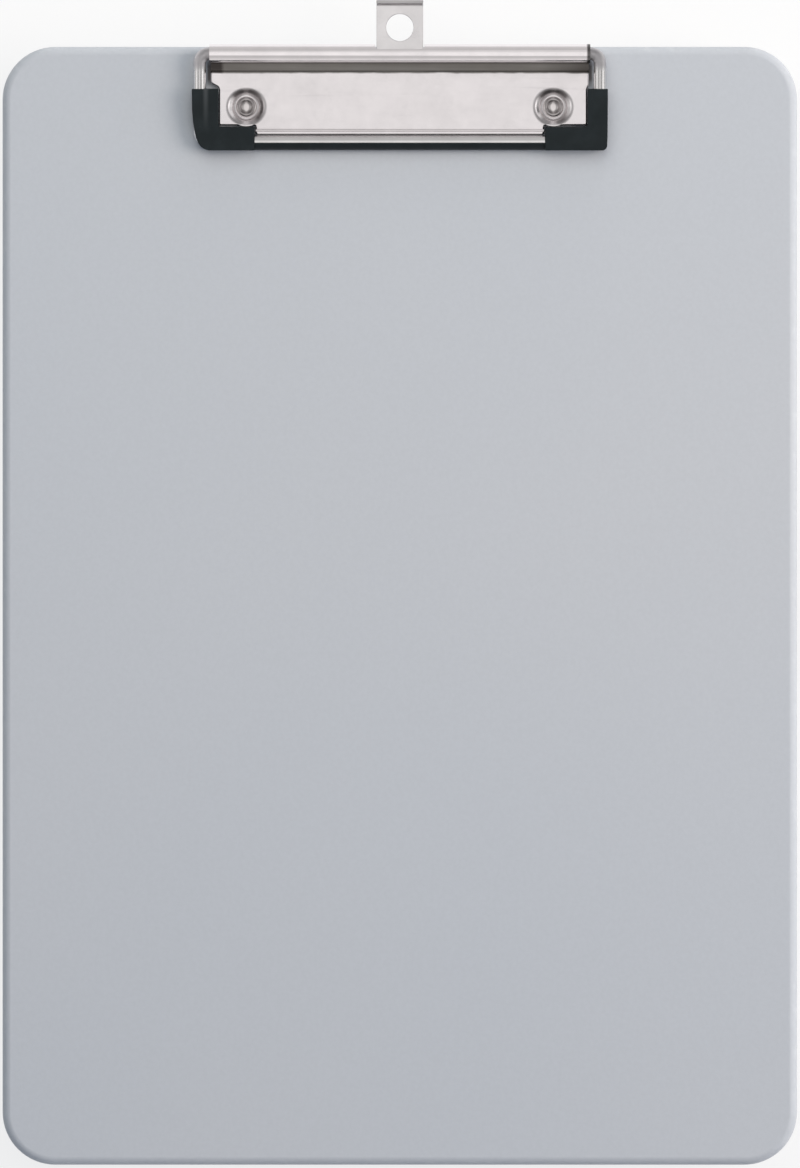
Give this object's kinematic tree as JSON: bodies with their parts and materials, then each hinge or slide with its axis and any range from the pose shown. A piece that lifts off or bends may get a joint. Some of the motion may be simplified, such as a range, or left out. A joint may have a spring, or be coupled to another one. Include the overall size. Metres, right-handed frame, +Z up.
{
  "type": "storage clipboard box",
  "caption": "Shallow document box whose side-hinged lid is a clipboard writing face, with a wire bail clip, rubber corner grips, a sliding hanger tab and a side latch.",
  "frame": {"origin": "centre of the writing face's outline, in the plane on which the feet stand", "axes": "+Z up out of the writing face, +Y towards the clip and hanger tab, +X to the right of the writer"},
  "size_m": [0.226, 0.3309, 0.0328],
  "materials": {
    "tray": "fine moulded texture",
    "lid": "satin moulded writing face",
    "chrome": "bright nickel-chrome plate",
    "zinc": "zinc-plated steel",
    "pin_steel": "ground steel",
    "grip_rubber": "soft matt rubber",
    "foot_rubber": "matt rubber",
    "latch": "fine moulded texture"
  },
  "bodies": {
    "tray": {"tray": "tray", "foot_front_left": "foot_rubber", "foot_front_right": "foot_rubber", "foot_back_left": "foot_rubber", "foot_back_right": "foot_rubber", "hinge_pin_upper": "pin_steel", "hinge_pin_lower": "pin_steel"},
    "lid": {"lid": "lid", "clip_base_plate": "chrome", "rivet_left": "chrome", "rivet_right": "chrome", "rivet_washer_left": "zinc", "rivet_washer_right": "zinc", "latch_pin": "pin_steel"},
    "bail": {"bail_wire": "chrome", "corner_grip_left": "grip_rubber", "corner_grip_right": "grip_rubber", "bar_sleeve": "grip_rubber"},
    "hanger": {"hanger_tab": "chrome"},
    "latch": {"latch_clasp": "latch"}
  },
  "joints": [
    {"name": "lid_hinge", "type": "hinge", "parent": "tray", "child": "lid", "pos_m": [-0.11035, 0, 0.0166], "axis": [0, -1, 0], "range_deg": [0, 120]},
    {"name": "bail_lift", "type": "hinge", "parent": "lid", "child": "bail", "pos_m": [0, 0.1567, 0.0301], "axis": [-1, 0, 0], "range_deg": [0, 45], "stiffness_Nm_per_rad": 0.6, "springref_deg": -28.65},
    {"name": "hanger_slide", "type": "slide", "parent": "lid", "child": "hanger", "axis": [0, -1, 0], "range_m": [0, 0.0112]},
    {"name": "latch_swing", "type": "hinge", "parent": "lid", "child": "latch", "pos_m": [0.11035, 0, 0.0166], "axis": [0, -1, 0], "range_deg": [0, 35]}
  ]
}
